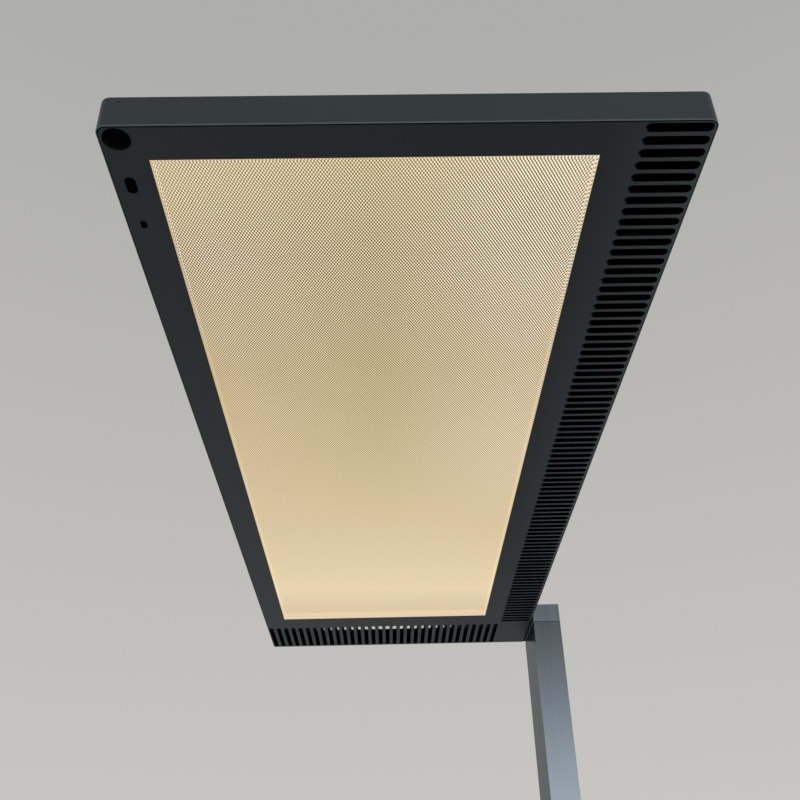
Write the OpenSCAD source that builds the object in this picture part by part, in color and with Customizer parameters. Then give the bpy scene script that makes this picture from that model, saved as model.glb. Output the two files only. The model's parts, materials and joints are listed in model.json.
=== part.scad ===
// Office floor lamp: a flat light head carried at its corner by a slim post.
// The head turns on the post's top end, and three keys on the post switch and dim it.
// The origin is on the floor under the post, whose axis is Z. The head's free end points to -Y.

/* [Overall] */
// Height of the head's top above the floor
lamp_h = 1970; // [1500:10:2200]

/* [Head] */
// Width of the head, across
head_w = 290; // [260:1:380]
// Length of the head, from its free end to the post
head_l = 778; // [600:2:1000]
// Thickness of the head
head_t = 19.5; // [18.5:0.5:26]
// Radius of the upright corners at the head's free end
head_near_r = 5.5; // [3:0.5:6]
// Radius of the upright corners at the head's far end
head_far_r = 2; // [1.6:0.1:4]
// Thickness of the housing's side walls
wall_t = 0.8; // [0.7:0.1:1.2]
// Thickness of the housing's top
top_t = 2; // [1.5:0.1:2.4]
// Thickness of the frame that closes the head from below
frame_t = 2.5; // [2:0.1:3]
// Open line between the frame and the housing's wall at the free end
shadow_gap = 0.4; // [0.2:0.1:0.6]
// Bevel along the housing's edges
edge_bevel = 0.5; // [0.3:0.1:0.8]

/* [Light panel] */
// Frame left of the light opening
margin_left = 21; // [20:1:30]
// Frame in front of the light opening, at the free end
margin_near = 21.5; // [18:0.5:40]
// Frame right of the light opening, with the side vents
margin_right = 52.5; // [51:0.5:80]
// Frame behind the light opening, with the end vents
margin_far = 94; // [92:1:140]
// How deep the diffuser lies above the head's underside
recess = 4; // [3.5:0.1:4.5]
// Thickness of the diffuser
diffuser_t = 2; // [1.5:0.1:2.5]
// Thickness of the light guide
guide_t = 4; // [3:0.1:4.4]
// Thickness of the reflector sheet
reflector_t = 0.5; // [0.3:0.1:0.6]
// Thickness of the sheet that the heat tray is folded from
tray_t = 1.5; // [1:0.1:1.8]
// How far the stacked sheets reach under the frame
lap = 5.5; // [5:0.5:6]
// Wall of the white carrier that lines the light opening
carrier_wall = 1.2; // [1:0.1:1.5]
// Depth of the carrier's lower rim above the underside
carrier_set = 0.4; // [0.2:0.1:0.8]
// Thickness of a circuit board
board_t = 1; // [0.8:0.1:1.2]
// Spacing of the light sources on their strip
led_pitch = 12; // [8:1:20]

/* [Vents] */
// Spacing of the slots
slot_pitch = 8; // [7:0.5:10]
// Width of a side slot
slot_w = 5.5; // [4:0.25:6]
// Width of an end slot
end_slot_w = 4.5; // [3.5:0.25:5.5]
// Solid rim between the side slots and the head's edge
vent_rim = 2; // [1.8:0.1:4]
// Solid rim between the end slots and the head's far edge
end_rim = 3; // [2.6:0.1:4]
// Length of the side slots, across the head
side_slot_l = 32.5; // [24:0.5:33]
// Length of the end slots, along the head
end_slot_l = 63; // [40:1:65]
// Depth of the notches that lead the top's slots out over the end wall
end_notch = 1; // [0.6:0.1:1.4]

/* [Sensors] */
// Middle of the sensors from the head's left side
sensor_x = 8.8; // [8.4:0.1:9]
// Motion sensor from the free end
motion_y = 8.4; // [8.3:0.1:12]
// Diameter of the motion sensor's lens
motion_d = 13; // [10:0.1:13]
// How far the lens's rim stands out of the underside
motion_step = 0.4; // [0.2:0.1:0.8]
// How far the lens bulges below its rim
motion_dome = 1.4; // [1:0.1:2.5]
// Light sensor's window from the free end
light_y = 38; // [32:0.5:44]
// Width of the light sensor's window
light_w = 5; // [4:0.5:7]
// Length of the light sensor's window
light_l = 10.5; // [8:0.5:14]
// Receiver's window from the free end
receiver_y = 66; // [56:0.5:72]
// Width of the receiver's window
receiver_w = 3; // [2:0.5:4]
// Length of the receiver's window
receiver_l = 5; // [4.5:0.5:7]
// Rim that holds each sensor part behind the frame
sensor_lap = 0.6; // [0.4:0.1:0.6]
// Reset pin hole in the end wall, from the left side
pin_hole_x = 9.6; // [8:0.1:20]
// Diameter of the reset pin hole
pin_hole_d = 0.9; // [0.6:0.1:1.5]

/* [Post] */
// Width of the post, across the head
post_w = 30; // [29:0.5:40]
// Depth of the post, along the head
post_d = 72; // [68:1:84]
// Wall of the post
post_t = 2.5; // [2:0.1:2.7]
// Radius of the post's upright edges
post_r = 0.8; // [0.6:0.1:2]
// Gap between the head and the block on the post, with a dark spacer in it
head_gap = 2; // [1.5:0.5:4]

/* [Base] */
// Width of the base plate, across the head
base_w = 300; // [240:5:420]
// Length of the base plate, along the head
base_l = 480; // [380:5:640]
// Thickness of the base plate
base_t = 12; // [10:0.5:16]
// Radius of the base plate's corners
base_r = 12; // [6:1:30]
// Bevel along the base plate's upper edge
base_bevel = 1.5; // [1:0.1:3]
// Base plate beyond the post, at the right
base_side = 20; // [14:1:60]
// Base plate beyond the post, at the back
base_back = 20; // [14:1:60]
// Thickness of the rubber pad under the base
pad_t = 2; // [1.5:0.5:4]
// How far the pad stays in from the base's edge
pad_inset = 4; // [3:1:8]
// Height of the block that holds the post's foot
foot_h = 40; // [36:1:70]
// Height of the cord gland above the floor
gland_z = 80; // [75:1:160]
// Diameter of the cord gland's bore
gland_bore_d = 7.5; // [6:0.1:8.5]

/* [Swivel] */
// Diameter of the hollow spindle
spindle_d = 18; // [16:0.5:18]
// Bore of the spindle, for the cable
spindle_bore = 10; // [8:0.5:10]
// Wall of the bearing bush
bush_t = 2; // [1.5:0.1:2.2]
// Height of the bearing block in the post's top
insert_h = 42; // [38:1:60]
// Open seam between the post and the block that turns on it
seam_gap = 0.6; // [0.4:0.1:1]
// Turn of the head to each side, in degrees
swivel_range = 90; // [30:5:120]
// Thickness of the bracket's tongue
tongue_t = 8; // [6:0.5:8.5]
// Width of the bracket's tongue
tongue_w = 40; // [32:1:48]

/* [Controls] */
// Middle of the keys above the floor
control_z = 1100; // [700:10:1200]
// Width of the window in the post's front
window_w = 20; // [19:0.5:21]
// Height of the window in the post's front
window_h = 88; // [84:1:110]
// Width of a key
key_w = 13; // [11:0.5:13.5]
// Height of a key
key_h = 20; // [14:0.5:21]
// Spacing of the keys
key_pitch = 26; // [25:0.5:27]
// How far a key stands out of the post's front
key_proud = 1.4; // [1.1:0.1:2]
// Travel of a key
key_travel = 1; // [0.6:0.1:1]

/* [Fits] */
// Clearance between pieces that are put together
fit = 0.1; // [0.05:0.05:0.15]
// Clearance round pieces that move
play = 0.3; // [0.2:0.05:0.35]
// Radial clearance of the spindle in its bush
running = 0.05; // [0.02:0.01:0.08]
// Diameter of the head's screws
head_screw_d = 3; // [2.5:0.5:3.5]
// Diameter of the post's screws
post_screw_d = 5; // [4:0.5:5]
// Diameter of the base's screws
base_screw_d = 6; // [5:0.5:8]

/* [Hidden] */
$fn = 48;

// Finishes
anthracite = "#33373a";
satin_silver = "#a9adb1";
black = "#101112";
steel = "#8d9196";
white = "#f2f0ea";
board_green = "#2f5a41";

// A cut reaches this far past the face that it opens
past = 1;
// Clearance of a screw in its hole, and of a thread in its nut
screw_fit = 0.2;
thread_fit = 0.05;
// A screw's head over its shank, and its hexagon socket, in shank diameters
csk_ratio = 2;
socket_flats = 0.65;
socket_depth = 0.4;
// Clearance of the sensor parts in the frame
sensor_fit = 0.25;

// Heights of the stand
base_top = pad_t + base_t;
seam_z = lamp_h - head_t;
post_top = seam_z - seam_gap;
foot_top = base_top + foot_h;

// Left front corner of the head, and the post's axis seen from that corner
head_x = -(post_w / 2 + head_gap + head_w);
head_y = post_d / 2 - head_l;
axis_x = -head_x;
axis_y = -head_y;

// Light opening in the head
panel_w = head_w - margin_left - margin_right;
panel_l = head_l - margin_near - margin_far;
panel_x1 = margin_left + panel_w;
panel_y1 = margin_near + panel_l;

// Stack of sheets above the opening
guide_z = recess + diffuser_t;
reflector_z = guide_z + guide_t;
tray_z = reflector_z + reflector_t;
tray_top = tray_z + tray_t;
roof_z = head_t - top_t;
led_gap = 0.3;
chip_t = 0.6;
chip_l = 3.5;
chip_h = 2.4;
tray_in = lap - fit + led_gap + chip_t + board_t;
tray_out = tray_in + tray_t;
strip_end = 5;

// How far the frame stays in from the head's sides
frame_in = wall_t + fit;

// Vents: the side slots stop in front of the corner that the post carries
vent_x0 = head_w - vent_rim - side_slot_l;
corner_y = head_l - post_d;
slot_lead = 2;
first_slot = slot_lead + slot_w / 2;
side_slots = floor((corner_y - first_slot - slot_w / 2) / slot_pitch) + 1;
end_slot_in = 0.65;
first_end_slot = frame_in + end_slot_in + end_slot_w / 2;
end_slots = floor((vent_x0 - first_end_slot - end_slot_w / 2) / slot_pitch) + 1;
end_slot_y0 = head_l - end_rim - end_slot_l;
end_slot_top = end_slot_l + end_rim - wall_t;
end_slot_out = end_slot_l + end_rim + end_slot_w;
grille_spine = 3;
grille_y0 = end_slot_y0 - grille_spine;

// Bosses that the cover's screws go into
boss_r = 3;
boss_end = 80;
boss_rows = 3;
screw_reach = 10;
boss_left_x = (wall_t + margin_left - tray_out) / 2;
boss_right_x = (panel_x1 + tray_out + vent_x0) / 2;
boss_ys = [for (i = [0 : boss_rows - 1])
    margin_near + boss_end + i * (panel_l - 2 * boss_end) / (boss_rows - 1)];
boss_near_y = (wall_t + margin_near - lap - carrier_wall) / 2;
boss_far_y = (panel_y1 + lap + carrier_wall + grille_y0) / 2;
bosses = concat(
    [for (y = boss_ys) [boss_left_x, y]],
    [for (y = boss_ys) [boss_right_x, y]],
    [[head_w / 2, boss_near_y], [head_w / 2, boss_far_y]]
);
hold_down_r = 4;
hold_down_in = 40;

// Sensor parts behind the frame
sensor_rim_t = 1;
sensor_board_w = 8;
sensor_board_l = 68;
sensor_board_room = 0.5;
sensor_board_tail = 3;
sensor_board_x = margin_left - tray_out - sensor_board_room - sensor_board_w;
sensor_board_y = receiver_y + receiver_l / 2 + sensor_board_tail - sensor_board_l;
window_set = 0.2;
pin_hole_drop = 1.4;
pin_hole_z = roof_z - pin_hole_drop;

// Bracket in the solid corner, with a tongue into the block on the post
bracket_in = 1;
bracket_r = 2.5;
bracket_x0 = vent_x0 + bracket_in;
bracket_x1 = head_w - wall_t - fit;
bracket_y0 = corner_y + bracket_in;
bracket_y1 = head_l - wall_t - fit;
block_floor = 4.4;
block_wall = 2.6;
tongue_z = block_floor + fit;
tongue_x1 = axis_x + post_w / 2 - block_wall - fit;
tongue_top = tongue_z + tongue_t;
cable_room = 2;
spacer_in = 1;
spacer_set = 0.2;
bracket_screw_in = 7;
bracket_holes = [for (x = [bracket_x0 + bracket_screw_in, bracket_x1 - bracket_screw_in],
    y = [bracket_y0 + bracket_screw_in, bracket_y1 - bracket_screw_in]) [x, y]];

// Swivel: the spindle's collar clamps the block to the tongue and runs on the thrust washer
spindle_r = spindle_d / 2;
collar_w = 3;
collar_r = spindle_r + collar_w;
collar_t = 2;
washer_t = 1.5;
washer_recess = washer_t - seam_gap + running;
bush_r = spindle_r + running + bush_t;
bush_h = insert_h - washer_recess;
insert_z = post_top - insert_h;
spring_t = 1;
nut_h = 6;
nut_wall = 2.8;
nut_r = spindle_r + nut_wall;
nut_slot = 3;
nut_slots = 4;
nut_slot_in = 1;
spring_top = insert_z - fit;
nut_top = spring_top - spring_t;
spindle_tail = 1.5;
spindle_z = nut_top - nut_h - spindle_tail;
cable_d = 6;

// Stop: a dog-point screw runs in a groove round part of the spindle
dog_r = 1.5;
groove_depth = 2;
groove_r = spindle_r - groove_depth;
groove_w = 2 * (dog_r + play);
stop_drop = 20;
stop_z = post_top - stop_drop;
groove_half = swivel_range + asin((dog_r + play) / groove_r);

// Screws in the post's back
post_screw_reach = 12;
insert_screw_in = 8;
foot_screw_in = 11;
insert_screw_zs = [post_top - insert_screw_in, insert_z + insert_screw_in];
foot_screw_zs = [base_top + foot_screw_in, foot_top - foot_screw_in];

// Base
base_x = post_w / 2 + base_side - base_w;
base_y = post_d / 2 + base_back - base_l;
base_screw_reach = 20;
base_screw_x = 6.5;
base_screw_y = 22;
base_screw_at = [for (x = [-1, 1], y = [-1, 1]) [x * base_screw_x, y * base_screw_y]];

// Cord gland
gland_wall = 1.8;
gland_lip = 2.5;
gland_lip_t = 2;
gland_edge = 0.8;

// Driver in the post's foot
driver_w = 20;
driver_d = 42;
driver_h = 220;
driver_r = 2;
terminal_h = 14;
terminal_in = 3;

// Keys
bezel_rim_t = 1.5;
bezel_rim = 2;
bezel_back = post_t + bezel_rim_t;
key_r = 3;
key_bevel = 0.6;
key_rim = 1.2;
key_rim_t = 1.2;
key_seat = 0.2;
switch_w = 6;
switch_h = 4;
stem_r = 2;
standoff_r = 1.7;
standoff_l = 8;
standoff_in = 2;
key_board_z = bezel_back + standoff_l;
stem_end = key_board_z - switch_h - key_travel - play;
key_board_w = window_w;
key_board_h = window_h;
key_board_t = 1.6;

// Moves to the head's left front corner, at its underside
module in_head(z = 0) {
    translate([head_x, head_y, seam_z + z]) children();
}

// Turns the shape so that it grows into the post from its front, at a height
module into_front(z) {
    translate([0, -post_d / 2, z]) rotate([-90, 0, 0]) children();
}

// Turns the shape so that it grows into the post from its back, at a height
module into_back(z) {
    translate([0, post_d / 2, z]) rotate([90, 0, 0]) children();
}

module rounded_rect(w, l, r) {
    translate([r, 0]) square([w - 2 * r, l]);
    translate([0, r]) square([w, l - 2 * r]);
    for (x = [r, w - r], y = [r, l - r]) translate([x, y]) circle(r);
}

module centred_rect(w, l, r) {
    translate([-w / 2, -l / 2]) rounded_rect(w, l, r);
}

// Section of a slab whose lower and upper edges are bevelled
module bevelled_section(d, h, low, high) {
    polygon([[low, 0], [d - low, 0], [d, low], [d, h - high],
        [d - high, h], [high, h], [0, h - high], [0, low]]);
}

// Slab with round upright corners and bevelled lower and upper edges
module bevelled_slab(w, l, h, r, low, high) {
    translate([r, 0, 0]) rotate([90, 0, 90])
        linear_extrude(w - 2 * r) bevelled_section(l, h, low, high);
    translate([0, l - r, 0]) rotate([90, 0, 0])
        linear_extrude(l - 2 * r) bevelled_section(w, h, low, high);
    for (x = [r, w - r], y = [r, l - r]) translate([x, y, 0]) rotate_extrude()
        polygon([[0, 0], [r - low, 0], [r, low], [r, h - high], [r - high, h], [0, h]]);
}

// Slot with round ends, from a point along X
module slot(length, width) {
    translate([width / 2, -width / 2]) square([length - width, width]);
    for (x = [width / 2, length - width / 2]) translate([x, 0]) circle(width / 2);
}

// Shank and countersunk head of a screw, flush at z = 0 and pointing to -Z
module screw_form(d, reach, clear = 0) {
    head_h = (csk_ratio - 1) * d / 2;
    translate([0, 0, -reach]) cylinder(r = d / 2 + clear, h = reach);
    translate([0, 0, -head_h]) cylinder(r1 = d / 2 + clear, r2 = csk_ratio * d / 2 + clear, h = head_h);
}

// Hexagon socket for a screw of this diameter, sunk from z = 0
module socket(d) {
    corner = socket_flats * d / 2 / cos(30);
    translate([0, 0, -socket_depth * d]) cylinder(r = corner, h = socket_depth * d + past, $fn = 6);
}

module screw(d, reach) {
    difference() {
        screw_form(d, reach);
        socket(d);
    }
}

// The hole that a screw sits in, with a straight mouth
module screw_hole(d, reach) {
    screw_form(d, reach + screw_fit, screw_fit);
    cylinder(r = csk_ratio * d / 2 + screw_fit, h = past);
}

// Box round the light opening, wider by grow on every side
module panel_box(grow, low, high) {
    translate([margin_left - grow, margin_near - grow, low])
        cube([panel_w + 2 * grow, panel_l + 2 * grow, high - low]);
}

// Base

module base_pad() {
    color(black) translate([base_x + pad_inset, base_y + pad_inset, 0])
        linear_extrude(pad_t)
            rounded_rect(base_w - 2 * pad_inset, base_l - 2 * pad_inset, base_r - pad_inset / 2);
}

module base_plate() {
    color(anthracite) difference() {
        translate([base_x, base_y, pad_t])
            bevelled_slab(base_w, base_l, base_t, base_r, edge_bevel, base_bevel);
        for (p = base_screw_at) translate([p.x, p.y, pad_t]) rotate([180, 0, 0])
            screw_hole(base_screw_d, base_t + past);
    }
}

module base_screws() {
    color(steel) for (p = base_screw_at) translate([p.x, p.y, pad_t]) rotate([180, 0, 0])
        screw(base_screw_d, base_t + base_screw_reach);
}

module plug(h) {
    w = post_w - 2 * (post_t + fit);
    d = post_d - 2 * (post_t + fit);
    translate([-w / 2, -d / 2, 0]) cube([w, d, h]);
}

module post_foot() {
    color(steel) difference() {
        translate([0, 0, base_top]) plug(foot_h);
        for (p = base_screw_at) translate([p.x, p.y, base_top - past])
            cylinder(r = base_screw_d / 2 + screw_fit, h = base_screw_reach + past + screw_fit);
        for (z = foot_screw_zs) into_back(z) rotate([180, 0, 0])
            screw_hole(post_screw_d, post_screw_reach);
    }
}

module foot_screws() {
    color(steel) for (z = foot_screw_zs) into_back(z) rotate([180, 0, 0])
        screw(post_screw_d, post_screw_reach);
}

// Post

module post() {
    color(satin_silver) difference() {
        translate([0, 0, base_top]) linear_extrude(post_top - base_top) difference() {
            centred_rect(post_w, post_d, post_r);
            square([post_w - 2 * post_t, post_d - 2 * post_t], center = true);
        }
        into_front(control_z) translate([0, 0, -past])
            linear_extrude(post_t + 2 * past) centred_rect(window_w, window_h, key_r);
        into_back(gland_z) translate([0, 0, -past])
            cylinder(r = gland_bore_d / 2 + gland_wall + fit, h = post_t + 2 * past);
        for (z = concat(insert_screw_zs, foot_screw_zs)) into_back(z) rotate([180, 0, 0])
            screw_hole(post_screw_d, post_screw_reach);
        into_back(stop_z) translate([0, 0, -past])
            cylinder(r = post_screw_d / 2 + screw_fit, h = post_t + 2 * past);
    }
}

module cord_gland() {
    bore = gland_bore_d / 2;
    body = bore + gland_wall;
    color(black) into_back(gland_z) rotate_extrude() polygon([
        [bore, -gland_lip_t], [body + gland_lip - gland_edge, -gland_lip_t],
        [body + gland_lip, gland_edge - gland_lip_t], [body + gland_lip, 0],
        [body, 0], [body, post_t], [body + gland_lip / 2, post_t],
        [body, post_t + gland_lip_t], [bore, post_t + gland_lip_t]
    ]);
}

module led_driver() {
    y = -post_d / 2 + post_t + fit;
    color(white) translate([-driver_w / 2, y, foot_top]) {
        linear_extrude(driver_h) rounded_rect(driver_w, driver_d, driver_r);
        translate([terminal_in, terminal_in, driver_h])
            cube([driver_w - 2 * terminal_in, driver_d / 2, terminal_h]);
    }
}

module lamp_cable() {
    low = foot_top + driver_h;
    color(black) translate([0, 0, low])
        cylinder(d = cable_d, h = seam_z + tongue_top + cable_room / 2 - low);
}

// Controls

// Places one shape for each key, counted from the top one
module at_key(i) {
    into_front(control_z + (1 - i) * key_pitch) children();
}

module control_bezel() {
    rim_w = window_w + 2 * bezel_rim;
    rim_h = window_h + 2 * bezel_rim;
    color(black) difference() {
        into_front(control_z) {
            linear_extrude(bezel_back) centred_rect(window_w - 2 * fit, window_h - 2 * fit, key_r - fit);
            translate([0, 0, post_t + fit])
                linear_extrude(bezel_rim_t - fit) centred_rect(rim_w, rim_h, key_r);
            for (x = [-1, 1], y = [-1, 1])
                translate([x * (window_w / 2 - standoff_in), y * (window_h / 2 - standoff_in), post_t])
                    cylinder(r = standoff_r, h = bezel_rim_t + standoff_l);
        }
        for (i = [0 : 2]) at_key(i) translate([0, 0, -past])
            linear_extrude(bezel_back + 2 * past)
                centred_rect(key_w + 2 * play, key_h + 2 * play, key_r + play);
    }
}

module control_board() {
    color(board_green) into_front(control_z) translate([0, 0, key_board_z])
        linear_extrude(key_board_t) square([key_board_w, key_board_h], center = true);
}

module key_switches() {
    color(black) for (i = [0 : 2]) at_key(i) translate([0, 0, key_board_z - switch_h / 2])
        cube([switch_w, switch_w, switch_h], center = true);
}

// Key with a bevelled cap, a rim that holds it behind the bezel, and a stem over its switch
module key(i, tone) {
    rim_z = bezel_back + key_seat;
    color(tone) at_key(i) {
        translate([-key_w / 2, -key_h / 2, -key_proud])
            bevelled_slab(key_w, key_h, key_proud + rim_z + key_rim_t, key_r, key_bevel, 0);
        translate([0, 0, rim_z])
            linear_extrude(key_rim_t) centred_rect(key_w + 2 * key_rim, key_h + 2 * key_rim, key_r);
        translate([0, 0, rim_z]) cylinder(r = stem_r, h = stem_end - rim_z);
    }
}

module power_key() { key(0, "#d8d8d4"); }
module brighter_key() { key(1, anthracite); }
module dimmer_key() { key(2, anthracite); }

// Swivel, fixed half

module post_insert() {
    color(steel) difference() {
        translate([0, 0, insert_z]) plug(insert_h);
        translate([0, 0, insert_z - past]) cylinder(r = bush_r + fit, h = insert_h + 2 * past);
        translate([0, 0, post_top - washer_recess]) cylinder(r = collar_r + fit, h = washer_recess + past);
        for (z = insert_screw_zs) into_back(z) rotate([180, 0, 0])
            screw_hole(post_screw_d, post_screw_reach);
        into_back(stop_z) cylinder(r = post_screw_d / 2 + screw_fit, h = post_d / 2);
    }
}

module insert_screws() {
    color(steel) for (z = insert_screw_zs) into_back(z) rotate([180, 0, 0])
        screw(post_screw_d, post_screw_reach);
}

module swivel_bush() {
    color("#c9a25a") difference() {
        translate([0, 0, insert_z]) cylinder(r = bush_r, h = bush_h);
        translate([0, 0, insert_z - past]) cylinder(r = spindle_r + running, h = insert_h + 2 * past);
        into_back(stop_z) cylinder(r = dog_r + fit, h = post_d / 2);
    }
}

module thrust_washer() {
    color("#e6e2d6") translate([0, 0, post_top - washer_recess]) difference() {
        cylinder(r = collar_r, h = washer_t);
        translate([0, 0, -past]) cylinder(r = spindle_r + play, h = washer_t + 2 * past);
    }
}

module stop_screw() {
    shank = post_d / 2 - bush_r - 2 * play;
    color(steel) into_back(stop_z) translate([0, 0, play]) difference() {
        union() {
            cylinder(r = post_screw_d / 2, h = shank);
            cylinder(r = dog_r, h = post_d / 2 - groove_r - 2 * play);
        }
        rotate([180, 0, 0]) socket(post_screw_d);
    }
}

// Head: shells

// Outline of the head, drawn in at the free end and at the three other sides
module head_outline(near_in, side_in) {
    w = head_w - 2 * side_in;
    l = head_l - near_in - side_in;
    translate([side_in, near_in]) {
        rounded_rect(w, l, head_near_r - side_in);
        translate([0, l / 2]) rounded_rect(w, l / 2, head_far_r - side_in);
    }
}

// Row of slots across the far end
module end_slot_row(length) {
    for (i = [0 : end_slots - 1])
        translate([first_end_slot + i * slot_pitch, end_slot_y0]) rotate([0, 0, 90])
            slot(length, end_slot_w);
}

module top_housing() {
    color(anthracite) in_head() {
        difference() {
            union() {
                bevelled_slab(head_w, head_l, head_t, head_near_r, edge_bevel, edge_bevel);
                translate([0, head_l / 2, 0])
                    bevelled_slab(head_w, head_l / 2, head_t, head_far_r, edge_bevel, edge_bevel);
            }
            translate([0, 0, -past]) linear_extrude(roof_z + past) head_outline(wall_t, wall_t);
            translate([0, 0, roof_z - past]) linear_extrude(top_t + 2 * past) end_slot_row(end_slot_top);
            translate([0, 0, head_t - end_notch]) linear_extrude(end_notch + past) end_slot_row(end_slot_out);
            translate([head_w - 2 * wall_t, axis_y - tongue_w / 2 - fit, tongue_z - fit])
                cube([3 * wall_t, tongue_w + 2 * fit, tongue_t + 2 * fit]);
            for (p = concat(bosses, bracket_holes)) translate([p.x, p.y, head_t])
                screw_hole(head_screw_d, screw_reach);
            translate([pin_hole_x, -past, pin_hole_z]) rotate([-90, 0, 0])
                cylinder(d = pin_hole_d, h = wall_t + 2 * past);
        }
        for (x = [margin_left + hold_down_in, panel_x1 - hold_down_in], y = boss_ys)
            translate([x, y, tray_top]) cylinder(r = hold_down_r, h = roof_z - tray_top + top_t / 2);
    }
}

// Slots in the frame: a column along the right side and a row across the far end
module frame_slots() {
    for (i = [0 : side_slots - 1])
        translate([vent_x0, first_slot + i * slot_pitch]) slot(side_slot_l, slot_w);
    end_slot_row(end_slot_l);
}

// Oblong outline of a sensor's window, wider by grow all round
module window_outline(y, w, l, grow) {
    translate([sensor_x, y - l / 2 - grow]) rotate([0, 0, 90]) slot(l + 2 * grow, w + 2 * grow);
}

module bottom_frame() {
    color(anthracite) in_head() {
        linear_extrude(frame_t) difference() {
            head_outline(wall_t + shadow_gap, frame_in);
            translate([margin_left, margin_near]) square([panel_w, panel_l]);
            frame_slots();
            translate([sensor_x, motion_y]) circle(motion_d / 2 + sensor_fit);
            window_outline(light_y, light_w, light_l, sensor_fit);
            window_outline(receiver_y, receiver_w, receiver_l, sensor_fit);
        }
        for (p = bosses) translate([p.x, p.y, 0]) difference() {
            translate([0, 0, frame_t / 2]) cylinder(r = boss_r, h = roof_z - frame_t / 2);
            translate([0, 0, head_t]) screw_hole(head_screw_d, screw_reach);
        }
    }
}

// Comb of deep fins between the end slots of the frame and those of the top
module vent_grille() {
    color(black) in_head(frame_t) linear_extrude(roof_z - frame_t) difference() {
        intersection() {
            head_outline(frame_in, frame_in);
            translate([0, grille_y0]) square([vent_x0, head_l - grille_y0]);
        }
        end_slot_row(end_slot_out);
    }
}

module cover_screws() {
    color(steel) in_head(head_t) for (p = bosses) translate([p.x, p.y, 0])
        screw(head_screw_d, screw_reach);
}

// Head: light panel

module diffuser() {
    color("#fff1d0") in_head() panel_box(lap - fit, recess, guide_z);
}

module diffuser_carrier() {
    color(white) in_head() difference() {
        union() {
            panel_box(-fit, carrier_set, guide_z);
            panel_box(lap + carrier_wall, frame_t, guide_z);
        }
        panel_box(-fit - carrier_wall, -past, guide_z + past);
        panel_box(lap, recess, guide_z + past);
    }
}

module light_guide() {
    color("#e8f2f4") in_head() panel_box(lap - fit, guide_z, reflector_z);
}

module reflector_sheet() {
    color(white) in_head() panel_box(lap - fit, reflector_z, tray_z);
}

// Folded sheet over the light guide, with turned-down sides that carry the light strips
module heat_tray() {
    length = panel_l + 2 * lap;
    color(satin_silver) in_head() translate([margin_left, margin_near - lap, 0]) difference() {
        translate([-tray_out, 0, guide_z]) cube([panel_w + 2 * tray_out, length, tray_top - guide_z]);
        translate([-tray_in, -past, guide_z - past])
            cube([panel_w + 2 * tray_in, length + 2 * past, tray_z - guide_z + past]);
    }
}

// Board with a row of light sources, standing with its back at x = 0
module led_strip() {
    length = panel_l + 2 * lap - 2 * strip_end;
    chips = floor((length - chip_l) / led_pitch);
    first = (length - (chips - 1) * led_pitch) / 2;
    translate([0, margin_near - lap + strip_end, guide_z]) {
        cube([board_t, length, guide_t]);
        for (i = [0 : chips - 1])
            translate([board_t - fit, first + i * led_pitch - chip_l / 2, (guide_t - chip_h) / 2])
                cube([chip_t + fit, chip_l, chip_h]);
    }
}

module led_strip_left() {
    color(white) in_head() translate([margin_left - tray_in, 0, 0]) led_strip();
}

module led_strip_right() {
    color(white) in_head() translate([panel_x1 + tray_in, 0, 0]) mirror([1, 0, 0]) led_strip();
}

// Head: sensors

module motion_lens() {
    r = motion_d / 2;
    sphere_r = (r * r + motion_dome * motion_dome) / (2 * motion_dome);
    color(black) in_head() translate([sensor_x, motion_y, -motion_step]) {
        cylinder(r = r, h = motion_step + frame_t + sensor_rim_t);
        translate([0, 0, motion_step + frame_t]) cylinder(r = r + sensor_lap, h = sensor_rim_t);
        intersection() {
            translate([0, 0, sphere_r - motion_dome]) sphere(sphere_r);
            translate([0, 0, -motion_dome]) cylinder(r = r, h = motion_dome + frame_t);
        }
    }
}

// Window with a rim that holds it behind the frame
module sensor_window(y, w, l) {
    color(black) in_head() {
        translate([0, 0, window_set]) linear_extrude(frame_t + sensor_rim_t - window_set)
            window_outline(y, w, l, 0);
        translate([0, 0, frame_t]) linear_extrude(sensor_rim_t) window_outline(y, w, l, sensor_lap);
    }
}

module light_window() { sensor_window(light_y, light_w, light_l); }
module receiver_window() { sensor_window(receiver_y, receiver_w, receiver_l); }

module sensor_board() {
    color(board_green) in_head(frame_t + sensor_rim_t) translate([sensor_board_x, sensor_board_y, 0])
        cube([sensor_board_w, sensor_board_l, board_t]);
}

// Head: carrying parts and the swivel's turning half

module head_bracket() {
    color(anthracite) in_head() difference() {
        union() {
            translate([bracket_x0, bracket_y0, frame_t]) linear_extrude(roof_z - frame_t)
                rounded_rect(bracket_x1 - bracket_x0, bracket_y1 - bracket_y0, bracket_r);
            translate([bracket_x1 - past, axis_y - tongue_w / 2, tongue_z])
                cube([tongue_x1 - bracket_x1 + past, tongue_w, tongue_t]);
        }
        translate([axis_x, axis_y, tongue_z - past])
            cylinder(r = spindle_r + thread_fit, h = tongue_t + 2 * past);
        for (p = bracket_holes) translate([p.x, p.y, head_t]) screw_hole(head_screw_d, screw_reach);
    }
}

module bracket_screws() {
    color(steel) in_head(head_t) for (p = bracket_holes) translate([p.x, p.y, 0])
        screw(head_screw_d, screw_reach);
}

// Dark spacer round the tongue, between the head's side and the block
module joint_spacer() {
    color(black) in_head() difference() {
        translate([head_w + fit, corner_y + spacer_in, spacer_set])
            cube([head_gap - 2 * fit, post_d - 2 * spacer_in, head_t - 2 * spacer_set]);
        translate([head_w, axis_y - tongue_w / 2 - fit, tongue_z - fit])
            cube([head_gap, tongue_w + 2 * fit, tongue_t + 2 * fit]);
    }
}

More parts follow.
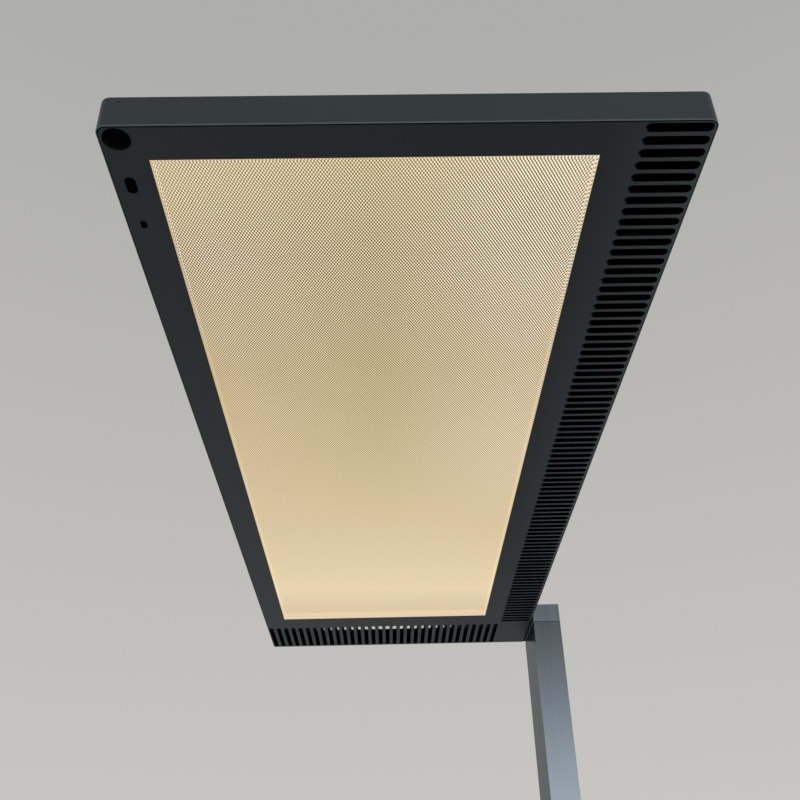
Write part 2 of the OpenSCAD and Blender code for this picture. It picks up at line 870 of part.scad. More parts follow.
module swivel_block() {
    color(satin_silver) in_head() difference() {
        translate([head_w + head_gap, corner_y, 0])
            bevelled_slab(post_w, post_d, head_t, post_r, edge_bevel / 2, edge_bevel);
        translate([head_w, axis_y - tongue_w / 2 - fit, block_floor])
            cube([tongue_x1 + fit - head_w, tongue_w + 2 * fit, tongue_t + 2 * fit + cable_room]);
        translate([axis_x, axis_y, -past]) {
            cylinder(r = spindle_r + fit, h = block_floor + 2 * past);
            cylinder(r = collar_r + fit, h = collar_t + past);
        }
    }
}

module swivel_spindle() {
    top = seam_z + tongue_top;
    color(steel) difference() {
        union() {
            translate([0, 0, spindle_z]) cylinder(r = spindle_r, h = top - spindle_z);
            translate([0, 0, seam_z]) cylinder(r = collar_r, h = collar_t);
        }
        translate([0, 0, spindle_z - past]) cylinder(d = spindle_bore, h = top - spindle_z + 2 * past);
        translate([0, 0, stop_z - groove_w / 2]) rotate([0, 0, 90 - groove_half])
            rotate_extrude(angle = 2 * groove_half)
                translate([groove_r, 0]) square([groove_depth + past, groove_w]);
    }
}

module spring_washer() {
    color(steel) translate([0, 0, nut_top]) difference() {
        cylinder(r = nut_r, h = spring_t);
        translate([0, 0, -past]) cylinder(r = spindle_r + fit, h = spring_t + 2 * past);
    }
}

module spindle_nut() {
    color(steel) translate([0, 0, nut_top - nut_h]) difference() {
        cylinder(r = nut_r, h = nut_h);
        translate([0, 0, -past]) cylinder(r = spindle_r + thread_fit, h = nut_h + 2 * past);
        for (i = [0 : nut_slots - 1]) rotate([0, 0, i * 360 / nut_slots])
            translate([spindle_r + nut_slot_in, -nut_slot / 2, -past])
                cube([nut_r, nut_slot, nut_h / 2 + past]);
    }
}

base_pad();
base_plate();
base_screws();
post_foot();
foot_screws();
post();
cord_gland();
led_driver();
lamp_cable();
control_bezel();
control_board();
key_switches();
post_insert();
insert_screws();
swivel_bush();
thrust_washer();
stop_screw();
top_housing();
bottom_frame();
vent_grille();
cover_screws();
diffuser();
diffuser_carrier();
light_guide();
reflector_sheet();
heat_tray();
led_strip_left();
led_strip_right();
motion_lens();
light_window();
receiver_window();
sensor_board();
head_bracket();
bracket_screws();
joint_spacer();
swivel_block();
swivel_spindle();
spring_washer();
spindle_nut();
power_key();
brighter_key();
dimmer_key();
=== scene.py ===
"""Looks of the office floor lamp: finishes, the glowing prism panel, signs on the keys, stage, light, camera.

Everything is in metres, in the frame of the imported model: the floor is z = 0, the post stands on the Z axis
and the head's free end points to -Y.
"""
import functools
import json
import math

import bmesh
import bpy
from mathutils import Matrix, Vector


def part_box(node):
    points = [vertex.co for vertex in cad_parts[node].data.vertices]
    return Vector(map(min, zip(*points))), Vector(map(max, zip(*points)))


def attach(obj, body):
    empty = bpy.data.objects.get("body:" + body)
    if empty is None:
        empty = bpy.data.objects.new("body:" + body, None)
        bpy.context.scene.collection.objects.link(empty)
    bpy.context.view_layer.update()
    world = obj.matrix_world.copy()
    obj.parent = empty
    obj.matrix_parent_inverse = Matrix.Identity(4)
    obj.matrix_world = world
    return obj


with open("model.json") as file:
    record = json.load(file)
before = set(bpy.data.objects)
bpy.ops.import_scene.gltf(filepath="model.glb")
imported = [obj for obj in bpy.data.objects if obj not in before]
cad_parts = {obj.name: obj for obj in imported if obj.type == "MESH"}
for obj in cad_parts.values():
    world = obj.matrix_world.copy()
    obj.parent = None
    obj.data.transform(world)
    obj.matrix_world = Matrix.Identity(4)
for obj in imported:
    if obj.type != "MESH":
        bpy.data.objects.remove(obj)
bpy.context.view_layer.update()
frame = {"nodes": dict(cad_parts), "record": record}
nodes = frame["nodes"]

MM = 0.001
WHITE = (1.0, 1.0, 1.0)


def grey(level, tint=WHITE):
    return tuple(level * t for t in tint)


# Camera: where it stands, how it is turned in degrees, and its lens for a 36 mm sensor
CAMERA_AT = (-0.17609, -1.04110, 1.61320)
CAMERA_YAW = 1.2224
CAMERA_PITCH = 31.9631
CAMERA_ROLL = 1.5739
CAMERA_LENS = 42.277
SENSOR_WIDTH = 36.0

# Floor: a disc that pales between two distances from the post; the darker colour near the post is painted shade
# that evens out the lamps' pool of light
FLOOR_RADIUS = 30.0
FLOOR_SEGMENTS = 96
FLOOR_NEAR = (0.50, 0.50, 0.49)
FLOOR_FAR = (0.86, 0.86, 0.85)
FLOOR_FADE = (3.0, 7.0)
FLOOR_MOTTLE = (grey(0.97), WHITE)
FLOOR_PATCH = 0.5

# Surroundings, as (height of a direction, colour): a backdrop, and a dim room at -Y that only gloss reflects.
# The fade is the Y of a direction over which the room gives way to the backdrop
BACKDROP = ((0.10, (0.58, 0.57, 0.55)), (0.80, (0.42, 0.42, 0.41)))
ROOM = (
    (0.13, (1.09, 1.12, 1.23)),
    (0.293, (0.091, 0.099, 0.102)),
    (0.60, (0.10, 0.105, 0.11)),
)
ROOM_FADE = (-0.3, 0.1)
SKY_COLOUR = (0.90, 0.95, 1.00)
SKY_STRENGTH = 0.55

# Lamps: name, place, the point it shines at, width and height, power in watts, colour
LAMPS = (
    ("key_light", (0.3, -3.6, 2.6), (-0.1, -0.3, 1.2), (3.0, 1.8), 130.0, (0.93, 0.98, 1.0)),
    ("fill_light", (-3.2, 0.4, 2.6), (-0.6, 1.2, 0.6), (2.4, 2.4), 55.0, (1.0, 0.99, 0.97)),
    ("back_light", (1.6, 2.6, 3.4), (0.0, 0.0, 1.4), (2.4, 2.0), 20.0, WHITE),
)

# Light panel: its glow from the free end (0) to the post (1), and a tint from left (0) to right (1) that fades
# towards the post
GLOW = (
    (0.00, (0.58, 0.475, 0.300)), (0.12, (0.475, 0.388, 0.242)), (0.28, (0.503, 0.399, 0.230)),
    (0.43, (0.560, 0.445, 0.265)), (0.88, (0.765, 0.625, 0.400)), (0.945, (0.690, 0.555, 0.360)),
    (0.975, (0.655, 0.535, 0.340)), (0.985, (0.760, 0.600, 0.400)), (1.00, (0.680, 0.550, 0.390)),
)
GLOW_ACROSS = ((0.1, (1.05, 1.03, 1.02)), (0.5, (0.955, 0.965, 0.875)), (0.9, (1.13, 1.15, 1.24)))
GLOW_EVEN = (0.97, 0.965, 0.96)
GLOW_FADE = (0.42, 0.65)
PANEL_BODY = ((0.1, (0.03, 0.024, 0.012)), (0.9, (0.06, 0.050, 0.035)))
CARRIER_BODY = ((0.05, 0.048, 0.042), (0.08, 0.075, 0.065))
CARRIER_GRAIN = 0.6 * MM
CARRIER_ROUGH = (0.35, 0.5)
CARRIER_FLANGE = 6.7 * MM
CARRIER_FADE = (0.9 * MM, 0.4 * MM)

# Prisms: three waves whose crests are a row apart. Two of them share their depth by a lean that changes across
# the panel; the contrast changes along it. The tint goes by a prism's level of light, up to the span
PRISM_ROW = 1.45 * MM
PRISM_TURNS = (-30.0, 30.0, 90.0)
PRISM_LEAN = (
    (0.0, 0.62), (0.08, 0.56), (0.35, 0.52), (0.60, 0.60), (0.80, 0.72), (0.92, 0.72), (0.97, 0.35),
)
LEANING_SHARE = 0.9
LEVEL_SHARE = 0.14
PRISM_CONTRAST = ((0.0, 0.50), (0.13, 0.92), (0.27, 0.58), (0.42, 0.47), (0.60, 0.14), (1.0, 0.05))
PRISM_DEPTH = 2.4
LEFT_EDGE = 0.08
LEFT_EDGE_SHARE = 0.5
DARKEST_PRISM = 0.02
PRISM_TINT = ((0.15, (1.05, 0.94, 0.72)), (0.5, WHITE), (0.9, (0.93, 1.0, 1.14)))
PRISM_TINT_SPAN = 2.0
PRISM_BUMP = (0.25, 0.3 * MM)

# Grain: where most of a noise's values lie, and the share of the first of two noises that are added
NOISE_LOW, NOISE_HIGH = 0.3, 0.7
COAT_FINE_SHARE = 0.6
COAT_PATCH = 0.08
STREAK_SHARE = 0.7
METAL_GRAIN = 0.4 * MM
METAL_BUMP = 0.1 * MM

# Tints of paint and metal, and the colours of painted shade and painted light on the head
COOL = (0.90, 1.03, 1.08)
SHINE = (0.88, 1.0, 1.03)
# Near-black painted shade for faces inside the head, in its slots and at seams
PAINTED_SHADE = grey(0.001)
# Painted light on the bars of the frame's right vent column
BAR_PAINTED_LIGHT = grey(0.050, COOL)
# Painted light on the left ends of the right column's slots, where their walls face the light
SLOT_END_PAINTED_LIGHT = grey(0.11, COOL)
# Painted highlight along the lower bevel of the housing's free end
BEVEL_HIGHLIGHT = grey(0.06, COOL)

# Masks of painted shade and painted light on the head: depths from the housing's box, lengths at the vents of
# the right column, and the values of a normal between which a mask fades
SKIN = 0.62 * MM
CORNER = 1.8 * MM
VENT_COLUMN = 36.0 * MM
VENT_LEAD = 15.0 * MM
VENT_END_FADE = (2.5 * VENT_COLUMN, 1.9 * VENT_COLUMN)
OUTWARDS = 0.2
DOWN = -0.5
SEAM_FADE = (-0.95, -0.45)
BAR_FADE = (-0.95, -0.6)
SLOT_END_FADE = (0.15, 0.8)
BEVEL_TILT = 0.7
BEVEL_FADE = (0.1, 0.25)
FREE_END_FADE = (-0.5, -0.2)

# Paints: grey level and specular level; the joint spacer's near-black level is painted shade of the gap between
# head and post. The frame's gloss falls to a share at its right side
PAINTS = {
    "anthracite_paint": (0.020, 0.30),
    "frame_paint": (0.020, 0.25),
    "housing_paint": (0.022, 0.38),
    "spacer_painted_shade": (0.003, 0.08),
}
PAINT_SPREAD = 0.15
PAINT_GRAIN = 0.45 * MM
PAINT_ROUGH = (0.38, 0.50)
PAINT_BUMP = 0.10
RIGHT_GLOSS = 0.70

# Coats: dark and light colour, grain, range of roughness, strength of the bump, specular level
COATS = {
    "anthracite_cast": (grey(0.020, COOL), grey(0.027, COOL), 0.8 * MM, (0.48, 0.62), 0.16, 0.4),
    "rubber_pad": (grey(0.010), grey(0.018), 1.2 * MM, (0.70, 0.85), 0.25, 0.3),
    "black_rubber": (grey(0.010), grey(0.018), 0.7 * MM, (0.55, 0.70), 0.15, 0.4),
    "black_plastic": (grey(0.010), grey(0.015), 0.5 * MM, (0.38, 0.50), 0.08, 0.5),
    "sensor_black": (grey(0.0003), grey(0.0006), 0.8 * MM, (0.16, 0.24), 0.02, 0.01),
    "white_plastic": (grey(0.70), grey(0.78), 0.6 * MM, (0.35, 0.50), 0.06, 0.5),
    "circuit_board": ((0.012, 0.070, 0.030), (0.022, 0.110, 0.050), 1.5 * MM, (0.35, 0.55), 0.05, 0.5),
    "grey_key": (grey(0.52), grey(0.60), 0.5 * MM, (0.40, 0.52), 0.08, 0.5),
    "dark_key": (grey(0.028, COOL), grey(0.036, COOL), 0.5 * MM, (0.42, 0.54), 0.08, 0.5),
}
# The vent grille inside the head: near black, painted shade seen through the slots
GRILLE_COAT = (grey(0.001), grey(0.002), 0.5 * MM, (0.55, 0.70), 0.08, 0.05)

# Metals: dark and light colour, range of roughness, scale of the streaks along X, Y and Z, strength of the
# bump, and the tint at a flat angle
DRAWN_UP = (900.0, 900.0, 12.0)
METALS = {
    "satin_aluminium": (grey(0.40, COOL), grey(0.43, COOL), (0.17, 0.23), DRAWN_UP, 0.04, 0.35),
    "raw_aluminium": (grey(0.58), grey(0.68), (0.28, 0.42), (20.0, 700.0, 700.0), 0.06, 1.0),
    "zinc_steel": (grey(0.42), grey(0.55), (0.25, 0.40), (700.0, 700.0, 700.0), 0.06, 1.0),
    "bearing_bronze": ((0.40, 0.24, 0.09), (0.52, 0.33, 0.14), (0.25, 0.40), DRAWN_UP, 0.06, 1.0),
}
BLOCK_METAL = (grey(0.60, COOL), grey(0.64, COOL), (0.17, 0.23), DRAWN_UP, 0.04, 0.35)

# Acrylic
ACRYLIC_TINTS = ((0.90, 0.95, 0.94), (0.96, 0.99, 0.98))
ACRYLIC_MARKS = 3.0 * MM
ACRYLIC_ROUGH = (0.03, 0.08)

# Signs on the keys
SIGN_WIDTH = 0.9 * MM
SIGN_PROUD = 0.05 * MM
SIGN_SUNK = 0.3 * MM
SIGN_ARM = 3.0 * MM
POWER_RADIUS = 3.2 * MM
POWER_ARC = (125.0, 415.0)
POWER_BAR = (0.6 * MM, 4.0 * MM)
ARC_STEPS = 24
CAP_STEPS = 8


# Node building

class Nodes:
    """A node tree that is being built."""

    def __init__(self, tree):
        self.tree = tree

    def add(self, kind, **settings):
        made = self.tree.nodes.new(kind)
        for key, value in settings.items():
            setattr(made, key, value)
        return made

    def put(self, socket, value):
        """Links an output to a socket, or sets the socket to a plain value."""
        if isinstance(value, bpy.types.NodeSocket):
            self.tree.links.new(value, socket)
        else:
            socket.default_value = value

    def feed(self, made, **inputs):
        """Sets or links a node's inputs by name, with _ for a space."""
        for key, value in inputs.items():
            self.put(made.inputs[key.replace("_", " ")], value)
        return made

    def math(self, operation, *values):
        made = self.add("ShaderNodeMath", operation=operation)
        for socket, value in zip(made.inputs, values):
            self.put(socket, value)
        return made.outputs[0]

    def fold(self, operation, values):
        """Joins values by an operation, one after the other."""
        return functools.reduce(functools.partial(self.math, operation), values)

    def remap(self, value, low, high, start=NOISE_LOW, end=NOISE_HIGH):
        """A value from start to end, spread from low to high."""
        made = self.feed(
            self.add("ShaderNodeMapRange"),
            Value=value, From_Min=start, From_Max=end, To_Min=low, To_Max=high,
        )
        return made.outputs["Result"]

    def ramp(self, value, *stops):
        """A colour ramp through (position, colour) stops."""
        made = self.feed(self.add("ShaderNodeValToRGB"), Fac=value)
        elements = made.color_ramp.elements
        while len(elements) < len(stops):
            elements.new(0.5)
        for element, (position, colour) in zip(elements, stops):
            element.position = position
            element.color = (*colour, 1.0)
        return made.outputs["Color"]

    def level_ramp(self, value, stops):
        """A ramp of plain numbers through (position, number) stops."""
        return self.ramp(value, *((position, grey(number)) for position, number in stops))

    def mix(self, factor, first, second, blend="MIX"):
        """Mixes two colours; the inputs 6 and 7 and the output 2 of the node are those of colours."""
        made = self.add("ShaderNodeMix", data_type="RGBA", blend_type=blend)
        self.put(made.inputs[0], factor)
        for socket, colour in zip((made.inputs[6], made.inputs[7]), (first, second)):
            self.put(socket, (*colour, 1.0) if isinstance(colour, tuple) else colour)
        return made.outputs[2]

    def xyz(self, vector):
        return self.feed(self.add("ShaderNodeSeparateXYZ"), Vector=vector).outputs


class Finish(Nodes):
    """A material that is being built, with its shader and object coordinates."""

    def __init__(self, name):
        self.material = bpy.data.materials.new(name)
        self.material.use_nodes = True
        super().__init__(self.material.node_tree)
        self.shader = self.tree.nodes["Principled BSDF"]
        self.coords = self.add("ShaderNodeTexCoord").outputs["Object"]

    def set(self, **inputs):
        self.feed(self.shader, **inputs)

    def source(self, name):
        """The output that feeds one of the shader's inputs."""
        return self.shader.inputs[name].links[0].from_socket

    def place(self):
        return self.xyz(self.coords)

    def normal(self):
        """The normal in the piece's own frame."""
        return self.xyz(self.add("ShaderNodeTexCoord").outputs["Normal"])

    def face_normal(self, kind="True Normal"):
        """The normal in the world: the flat face's own, or another kind."""
        return self.xyz(self.add("ShaderNodeNewGeometry").outputs[kind])

    def stretched(self, scale):
        """Object coordinates multiplied by a scale along each axis."""
        mapping = self.feed(self.add("ShaderNodeMapping"), Vector=self.coords, Scale=scale)
        return mapping.outputs["Vector"]

    def noise(self, size, detail=2.0, at=None):
        """Noise whose features are about this many metres across."""
        texture = self.feed(
            self.add("ShaderNodeTexNoise"), Vector=at or self.coords, Scale=1 / size, Detail=detail,
        )
        return texture.outputs["Fac"]

    def blend(self, first, second, share):
        """Sum of two noises, of which the first has this share."""
        return self.math(
            "ADD", self.math("MULTIPLY", first, share), self.math("MULTIPLY", second, 1.0 - share),
        )

    def shade(self, noise, dark, light):
        """Colour that follows a noise."""
        return self.ramp(noise, (NOISE_LOW, dark), (NOISE_HIGH, light))

    def bump(self, height, strength, distance):
        made = self.feed(
            self.add("ShaderNodeBump"), Strength=strength, Distance=distance, Height=height,
        )
        self.set(Normal=made.outputs["Normal"])


# Coats and metals

def coated(name, dark, light, grain, rough, strength, specular, shine=WHITE, unshaded=None):
    """Paint, plastic or rubber: a fine grain in colour, gloss and surface, and a broad unevenness.

    An optional mask, 1 on the outer faces, gives the faces inside painted shade: bare of gloss and nearly
    black.
    """
    finish = Finish(name)
    fine = finish.noise(grain, detail=3.0)
    colour = finish.shade(finish.blend(fine, finish.noise(COAT_PATCH), COAT_FINE_SHARE), dark, light)
    gloss = specular
    if unshaded:
        mask = unshaded(finish)
        colour = finish.mix(mask, PAINTED_SHADE, colour)
        gloss = finish.math("MULTIPLY", mask, specular)
    finish.set(
        Base_Color=colour,
        Roughness=finish.remap(fine, *rough),
        Specular_IOR_Level=gloss,
        Specular_Tint=(*shine, 1.0),
    )
    finish.bump(fine, strength, grain)
    return finish


def metal(name, dark, light, rough, along, strength, edge, unshaded=None):
    """Drawn or turned metal: streaks along one axis and a fine blasted grain.

    An optional mask, 1 on the faces in the light, gives the others painted shade: nearly black.
    """
    finish = Finish(name)
    streaks = finish.noise(1.0, detail=3.0, at=finish.stretched(along))
    both = finish.blend(streaks, finish.noise(METAL_GRAIN), STREAK_SHARE)
    colour = finish.shade(both, dark, light)
    if unshaded:
        colour = finish.mix(unshaded(finish), PAINTED_SHADE, colour)
    finish.set(
        Base_Color=colour,
        Roughness=finish.remap(both, *rough),
        Specular_Tint=(*grey(edge), 1.0),
        Metallic=1.0,
    )
    finish.bump(both, strength, METAL_BUMP)
    return finish


def clear(name):
    """Acrylic with faint marks."""
    finish = Finish(name)
    marks = finish.noise(ACRYLIC_MARKS, detail=4.0)
    finish.set(
        Base_Color=finish.shade(marks, *ACRYLIC_TINTS),
        Roughness=finish.remap(marks, *ACRYLIC_ROUGH),
        Transmission_Weight=0.9,
        IOR=1.49,
    )
    return finish


# Paint of the head

def facing_down(finish):
    """Mask of the faces that look down; on the frame, the faces that don't, in its slots, get painted shade."""
    return finish.math("LESS_THAN", finish.face_normal()[2], DOWN)


def not_facing_down(finish):
    """Mask that leaves out the faces that look down, in the shadow of a seam, and half of the bevels: these get
    painted shade.
    """
    return finish.remap(finish.face_normal()[2], 0.0, 1.0, *SEAM_FADE)


def housing_skin(finish):
    """Mask of the housing's outer faces: close to its box, and at the sides also looking outwards. The faces
    inside get painted shade.
    """
    low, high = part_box("top_housing")
    middle = (low + high) / 2
    place = finish.place()
    normal = finish.normal()

    def close(axis, edge, depth):
        off = finish.math("ABSOLUTE", finish.math("SUBTRACT", place[axis], edge))
        return finish.math("LESS_THAN", off, depth)

    def outwards(axis):
        off = finish.math("SUBTRACT", place[axis], middle[axis])
        arm = finish.math("DIVIDE", off, high[axis] - middle[axis])
        return finish.math("MULTIPLY", arm, normal[axis])

    near = [close(axis, edge, CORNER) for axis in (0, 1) for edge in (low[axis], high[axis])]
    outside = finish.fold("ADD", [outwards(axis) for axis in (0, 1)])
    side = finish.math(
        "MULTIPLY", finish.fold("MAXIMUM", near), finish.math("GREATER_THAN", outside, OUTWARDS),
    )
    return finish.math("MAXIMUM", close(2, high.z, SKIN), side)


def paint(name, unshaded=None):
    """Anthracite powder coat."""
    level, specular = PAINTS[name]
    dark, light = (grey(level * share, COOL) for share in (1.0 - PAINT_SPREAD, 1.0 + PAINT_SPREAD))
    return coated(name, dark, light, PAINT_GRAIN, PAINT_ROUGH, PAINT_BUMP, specular, SHINE, unshaded)


def cover(finish, share, colour):
    """Mixes a share of a colour over a finish's own."""
    finish.set(Base_Color=finish.mix(share, finish.source("Base Color"), colour))
    return finish


def slotted_paint(name):
    """The frame's paint: painted light on the bars of the right column, painted shade (black) in the slots, and
    painted light at their left ends.
    """
    finish = paint(name, facing_down)
    normal = finish.normal()
    x, y, _ = finish.place()
    low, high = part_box("bottom_frame")
    inner = high.x - VENT_COLUMN
    rising = finish.remap(x, 0.0, 1.0, inner - VENT_LEAD, high.x)
    down = finish.remap(normal[2], 1.0, 0.0, *BAR_FADE)
    before_corner = finish.remap(y, 1.0, 0.0, *(high.y - reach for reach in VENT_END_FADE))
    # Painted light: the bars of the right column lighter, rising towards its right side
    cover(finish, finish.fold("MULTIPLY", (rising, down, before_corner)), BAR_PAINTED_LIGHT)
    grade = finish.remap(x, 1.0, RIGHT_GLOSS, low.x, inner)
    finish.set(Specular_IOR_Level=finish.math("MULTIPLY", finish.source("Specular IOR Level"), grade))
    # Painted light at the left ends of the slots in the right column
    left_end = finish.remap(normal[0], 0.0, 1.0, *SLOT_END_FADE)
    column = finish.math("GREATER_THAN", x, inner)
    return cover(finish, finish.math("MULTIPLY", left_end, column), SLOT_END_PAINTED_LIGHT)


def highlighted_paint(name):
    """The housing's paint: painted shade on the faces inside, and a painted highlight along the lower bevel of
    its free end.
    """
    finish = paint(name, housing_skin)
    normal = finish.normal()
    tilt = finish.math("ABSOLUTE", finish.math("ADD", normal[2], BEVEL_TILT))
    free_end = finish.remap(normal[1], 1.0, 0.0, *FREE_END_FADE)
    bevel = finish.math("MULTIPLY", finish.remap(tilt, 1.0, 0.0, *BEVEL_FADE), free_end)
    # Painted highlight along the lower bevel of the free end
    return cover(finish, bevel, BEVEL_HIGHLIGHT)


# Light panel

def lattice_wave(finish, x, y, turn):
    """Cosine across one of the three rows of a hexagonal lattice, turned in degrees from X."""
    wave = 2 * math.pi / PRISM_ROW
    across = finish.math(
        "ADD",
        finish.math("MULTIPLY", x, wave * math.cos(math.radians(turn))),
        finish.math("MULTIPLY", y, wave * math.sin(math.radians(turn))),
    )
    return finish.math("COSINE", across)


def panel_glow(finish, x, y):
    """Place along and across the panel from 0 to 1, and the colour of its glow there."""
    low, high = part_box("diffuser")
    along = finish.remap(y, 0.0, 1.0, low.y, high.y)
    across = finish.remap(x, 0.0, 1.0, low.x, high.x)
    fade = finish.remap(along, 0.0, 1.0, *GLOW_FADE)
    tint = finish.mix(fade, finish.ramp(across, *GLOW_ACROSS), GLOW_EVEN)
    return along, across, finish.mix(1.0, finish.ramp(along, *GLOW), tint, "MULTIPLY")


def prism_light(finish):
    """Glow of the panel, its prisms as waves about 0, and the level of light they leave."""
    x, y, _ = finish.place()
    along, across, glow = panel_glow(finish, x, y)
    lean = finish.level_ramp(across, PRISM_LEAN)
    shares = (
        finish.math("MULTIPLY", lean, LEANING_SHARE),
        finish.math("MULTIPLY_ADD", lean, -LEANING_SHARE, LEANING_SHARE),
        LEVEL_SHARE,
    )
    prisms = finish.fold("ADD", [
        finish.math("MULTIPLY", lattice_wave(finish, x, y, turn), share)
        for turn, share in zip(PRISM_TURNS, shares)
    ])
    depth = finish.remap(across, LEFT_EDGE_SHARE * PRISM_DEPTH, PRISM_DEPTH, 0.0, LEFT_EDGE)
    deep = finish.math("MULTIPLY", finish.level_ramp(along, PRISM_CONTRAST), depth)
    level = finish.math("MAXIMUM", finish.math("MULTIPLY_ADD", prisms, deep, 1.0), DARKEST_PRISM)
    tint = finish.ramp(finish.math("MULTIPLY", level, 1 / PRISM_TINT_SPAN), *PRISM_TINT)
    return finish.mix(1.0, glow, tint, "MULTIPLY"), prisms, level


def prism_panel(name):
    """Prismatic diffuser: bright and dark prisms in a hexagonal lattice over a warm glow, on its lower face."""
    finish = Finish(name)
    glow, prisms, level = prism_light(finish)
    lit = finish.math("LESS_THAN", finish.face_normal("Normal")[2], DOWN)
    finish.set(
        Base_Color=finish.ramp(level, *PANEL_BODY),
        Emission_Color=glow,
        Emission_Strength=finish.math("MULTIPLY", level, lit),
        Roughness=0.35,
        Specular_IOR_Level=0.15,
    )
    finish.bump(prisms, *PRISM_BUMP)
    return finish


def glowing_carrier(name):
    """Milky carrier round the panel, lit through by it: its glow and prisms, plain along the outer edge."""
    finish = Finish(name)
    grain = finish.noise(CARRIER_GRAIN)
    glow, _, level = prism_light(finish)
    low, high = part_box("diffuser_carrier")
    place = finish.place()

    def within(axis):
        off = finish.math("ABSOLUTE", finish.math("SUBTRACT", place[axis], (low[axis] + high[axis]) / 2))
        edge = (high[axis] - low[axis]) / 2 - CARRIER_FLANGE
        return finish.remap(off, 1.0, 0.0, *(edge - inset for inset in CARRIER_FADE))

    inner = finish.fold("MINIMUM", [within(axis) for axis in (0, 1)])
    finish.set(
        Base_Color=finish.shade(grain, *CARRIER_BODY),
        Emission_Color=glow,
        Emission_Strength=finish.math("MULTIPLY_ADD", inner, finish.math("SUBTRACT", level, 1.0), 1.0),
        Roughness=finish.remap(grain, *CARRIER_ROUGH),
    )
    return finish


# Finishes by the record's material slots, and those of single nodes

FINISHES = {
    "anthracite_paint": paint("anthracite_paint"),
    "clear_acrylic": clear("clear_acrylic"),
    "prism_diffuser": prism_panel("prism_diffuser"),
    **{slot: coated(slot, *values) for slot, values in COATS.items()},
    **{slot: metal(slot, *values) for slot, values in METALS.items()},
}
NODE_FINISHES = {
    "bottom_frame": slotted_paint("frame_paint"),
    "top_housing": highlighted_paint("housing_paint"),
    # The joint spacer: near black, painted shade of the gap between head and post
    "joint_spacer": paint("spacer_painted_shade"),
    "diffuser_carrier": glowing_carrier("carrier_glow"),
    # The swivel block: its faces that look down get painted shade, nearly black, for the seam's shadow
    "swivel_block": metal("block_aluminium", *BLOCK_METAL, not_facing_down),
    "vent_grille": coated("grille_black", *GRILLE_COAT),
}


def dress(piece, finish):
    piece.data.materials.clear()
    piece.data.materials.append(finish.material)


def dress_nodes():
    for entry in frame["record"]["subparts"]:
        name = entry["node"]
        dress(nodes[name], NODE_FINISHES.get(name, FINISHES[entry["material_slot"]]))


# Signs on the keys

def stroke_outline(points, width):
    """Outline of a line of this width through points, with round ends."""
    sides = ([], [])
    for i, point in enumerate(points):
        ahead = points[min(i + 1, len(points) - 1)] - points[max(i - 1, 0)]
        across = Vector((-ahead.y, ahead.x)).normalized() * width / 2
        sides[0].append(point + across)
        sides[1].append(point - across)

    def cap(centre, start):
        arm = start - centre
        return [
            centre + Matrix.Rotation(-math.pi * k / CAP_STEPS, 2) @ arm for k in range(1, CAP_STEPS)
        ]

    return (
        sides[0] + cap(points[-1], sides[0][-1])
        + sides[1][::-1] + cap(points[0], sides[1][0])
    )


def plus_outline(arm, width):
    """Outline of a plus sign with round ends."""
    half = width / 2
    turns = (math.pi * (k / CAP_STEPS - 0.5) for k in range(CAP_STEPS + 1))
    quarter = [Vector((half, -half))]
    quarter += [Vector((arm + half * math.cos(t), half * math.sin(t))) for t in turns]
    return [Matrix.Rotation(math.pi / 2 * k, 2) @ point for k in range(4) for point in quarter]


def arc(radius, start, end):
    """Points of an arc between two angles in degrees."""
    angles = (math.radians(start + (end - start) * k / ARC_STEPS) for k in range(ARC_STEPS + 1))
    return [Vector((radius * math.cos(a), radius * math.sin(a))) for a in angles]


def build_sign(name, node, body, slot, outlines):
    """Thin inlay on a key's face: each outline is a list of points in the face, from its middle."""
    low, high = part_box(node)
    middle = (low + high) / 2
    shape = bmesh.new()
    for outline in outlines:
        front, back = (
            [shape.verts.new((middle.x + p.x, low.y + depth, middle.z + p.y)) for p in outline]
            for depth in (-SIGN_PROUD, SIGN_SUNK)
        )
        shape.faces.new(front)
        shape.faces.new(back[::-1])
        count = len(outline)
        for i in range(count):
            j = (i + 1) % count
            shape.faces.new((front[j], front[i], back[i], back[j]))
    bmesh.ops.recalc_face_normals(shape, faces=shape.faces)
    mesh = bpy.data.meshes.new(name)
    shape.to_mesh(mesh)
    shape.free()
    sign = bpy.data.objects.new(name, mesh)
    bpy.context.collection.objects.link(sign)
    dress(sign, FINISHES[slot])
    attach(sign, body)


def build_signs():
    ring = arc(POWER_RADIUS, *POWER_ARC)
    bar = [Vector((0.0, height)) for height in POWER_BAR]
    power = [stroke_outline(points, SIGN_WIDTH) for points in (ring, bar)]
    plus = plus_outline(SIGN_ARM, SIGN_WIDTH)
    minus = stroke_outline([Vector((-SIGN_ARM, 0.0)), Vector((SIGN_ARM, 0.0))], SIGN_WIDTH)
    build_sign("power_sign", "power_key", "power_key", "black_plastic", power)
    build_sign("brighter_sign", "brighter_key", "brighter_key", "grey_key", [plus])
    build_sign("dimmer_sign", "dimmer_key", "dimmer_key", "grey_key", [minus])


# Stage, light and camera

def build_floor():
    mesh = bpy.data.meshes.new("floor")
    shape = bmesh.new()
    bmesh.ops.create_circle(shape, cap_ends=True, radius=FLOOR_RADIUS, segments=FLOOR_SEGMENTS)
    shape.to_mesh(mesh)
    shape.free()
    floor = bpy.data.objects.new("floor", mesh)
    bpy.context.collection.objects.link(floor)
    finish = Finish("floor")
    mottle = finish.shade(finish.noise(FLOOR_PATCH, detail=3.0), *FLOOR_MOTTLE)
    distance = finish.feed(finish.add("ShaderNodeVectorMath", operation="LENGTH"), Vector=finish.coords)
    far = finish.remap(distance.outputs["Value"], 0.0, 1.0, *FLOOR_FADE)
    finish.set(
        Base_Color=finish.mix(1.0, finish.mix(far, FLOOR_NEAR, FLOOR_FAR), mottle, "MULTIPLY"),
        Roughness=0.7,
        Specular_IOR_Level=0.2,
    )
    dress(floor, finish)


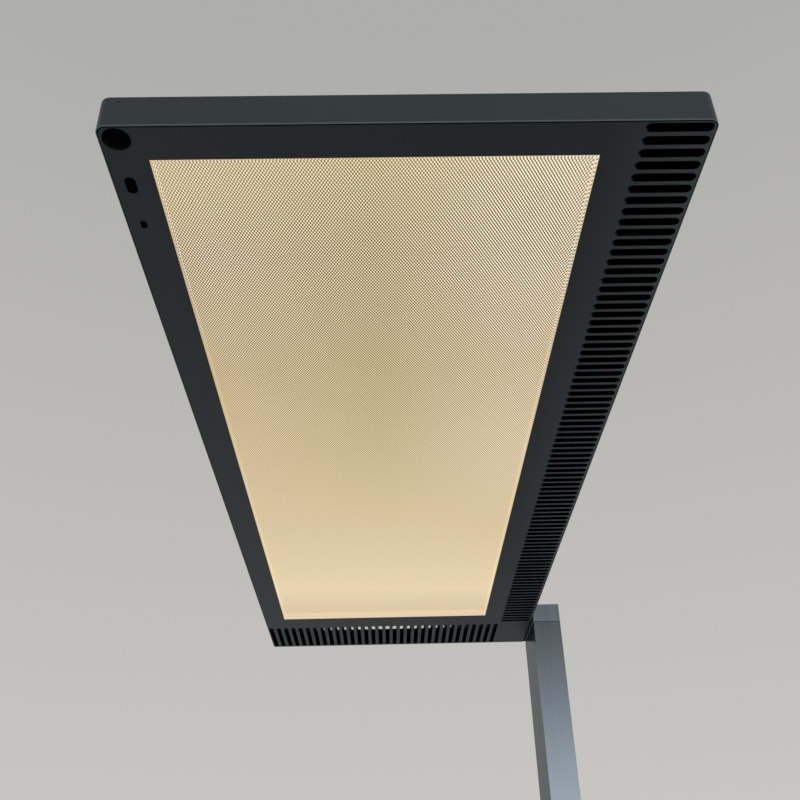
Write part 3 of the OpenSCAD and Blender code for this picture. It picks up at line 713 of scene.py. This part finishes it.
def build_world():
    """Soft light from all round, a pale backdrop for the camera, and a dim room for glossy surfaces."""
    world = bpy.data.worlds.new("studio")
    bpy.context.scene.world = world
    world.use_nodes = True
    sky = Nodes(world.node_tree)
    light = sky.feed(sky.tree.nodes["Background"], Color=(*SKY_COLOUR, 1.0), Strength=SKY_STRENGTH)
    _, forward, height = sky.xyz(sky.add("ShaderNodeTexCoord").outputs["Generated"])
    backdrop = sky.ramp(height, *BACKDROP)
    room = sky.mix(sky.remap(forward, 0.0, 1.0, *ROOM_FADE), sky.ramp(height, *ROOM), backdrop)
    rays = sky.add("ShaderNodeLightPath").outputs
    colour = sky.mix(rays["Is Glossy Ray"], backdrop, room)
    surroundings = sky.feed(sky.add("ShaderNodeBackground"), Color=colour, Strength=1.0)
    seen = sky.fold(
        "MAXIMUM", [rays[kind] for kind in ("Is Camera Ray", "Is Glossy Ray", "Is Transmission Ray")],
    )
    choice = sky.add("ShaderNodeMixShader")
    sources = (seen, light.outputs["Background"], surroundings.outputs["Background"])
    for socket, value in zip(choice.inputs, sources):
        sky.put(socket, value)
    sky.feed(sky.tree.nodes["World Output"], Surface=choice.outputs["Shader"])


def build_lamp(name, at, aim, size, power, colour):
    data = bpy.data.lights.new(name, "AREA")
    data.shape = "RECTANGLE"
    data.size, data.size_y = size
    data.energy = power
    data.color = colour
    lamp = bpy.data.objects.new(name, data)
    lamp.location = at
    lamp.rotation_euler = (Vector(aim) - Vector(at)).to_track_quat("-Z", "Y").to_euler()
    lamp.visible_glossy = False
    bpy.context.collection.objects.link(lamp)


def build_camera():
    yaw, pitch, roll = (math.radians(a) for a in (CAMERA_YAW, CAMERA_PITCH, CAMERA_ROLL))
    forward = Vector((math.sin(yaw) * math.cos(pitch), math.cos(yaw) * math.cos(pitch), math.sin(pitch)))
    level = Vector((math.cos(yaw), -math.sin(yaw), 0.0))
    down = forward.cross(level)
    right = math.cos(roll) * level + math.sin(roll) * down
    up = math.sin(roll) * level - math.cos(roll) * down
    data = bpy.data.cameras.new("camera")
    data.sensor_width = SENSOR_WIDTH
    data.lens = CAMERA_LENS
    camera = bpy.data.objects.new("camera", data)
    turn = Matrix((right, up, -forward)).transposed().to_4x4()
    camera.matrix_world = Matrix.Translation(CAMERA_AT) @ turn
    bpy.context.collection.objects.link(camera)
    bpy.context.scene.camera = camera


# The scene

dress_nodes()
build_signs()
build_floor()
build_world()
for lamp_settings in LAMPS:
    build_lamp(*lamp_settings)
build_camera()
bpy.context.scene.view_settings.view_transform = "Standard"
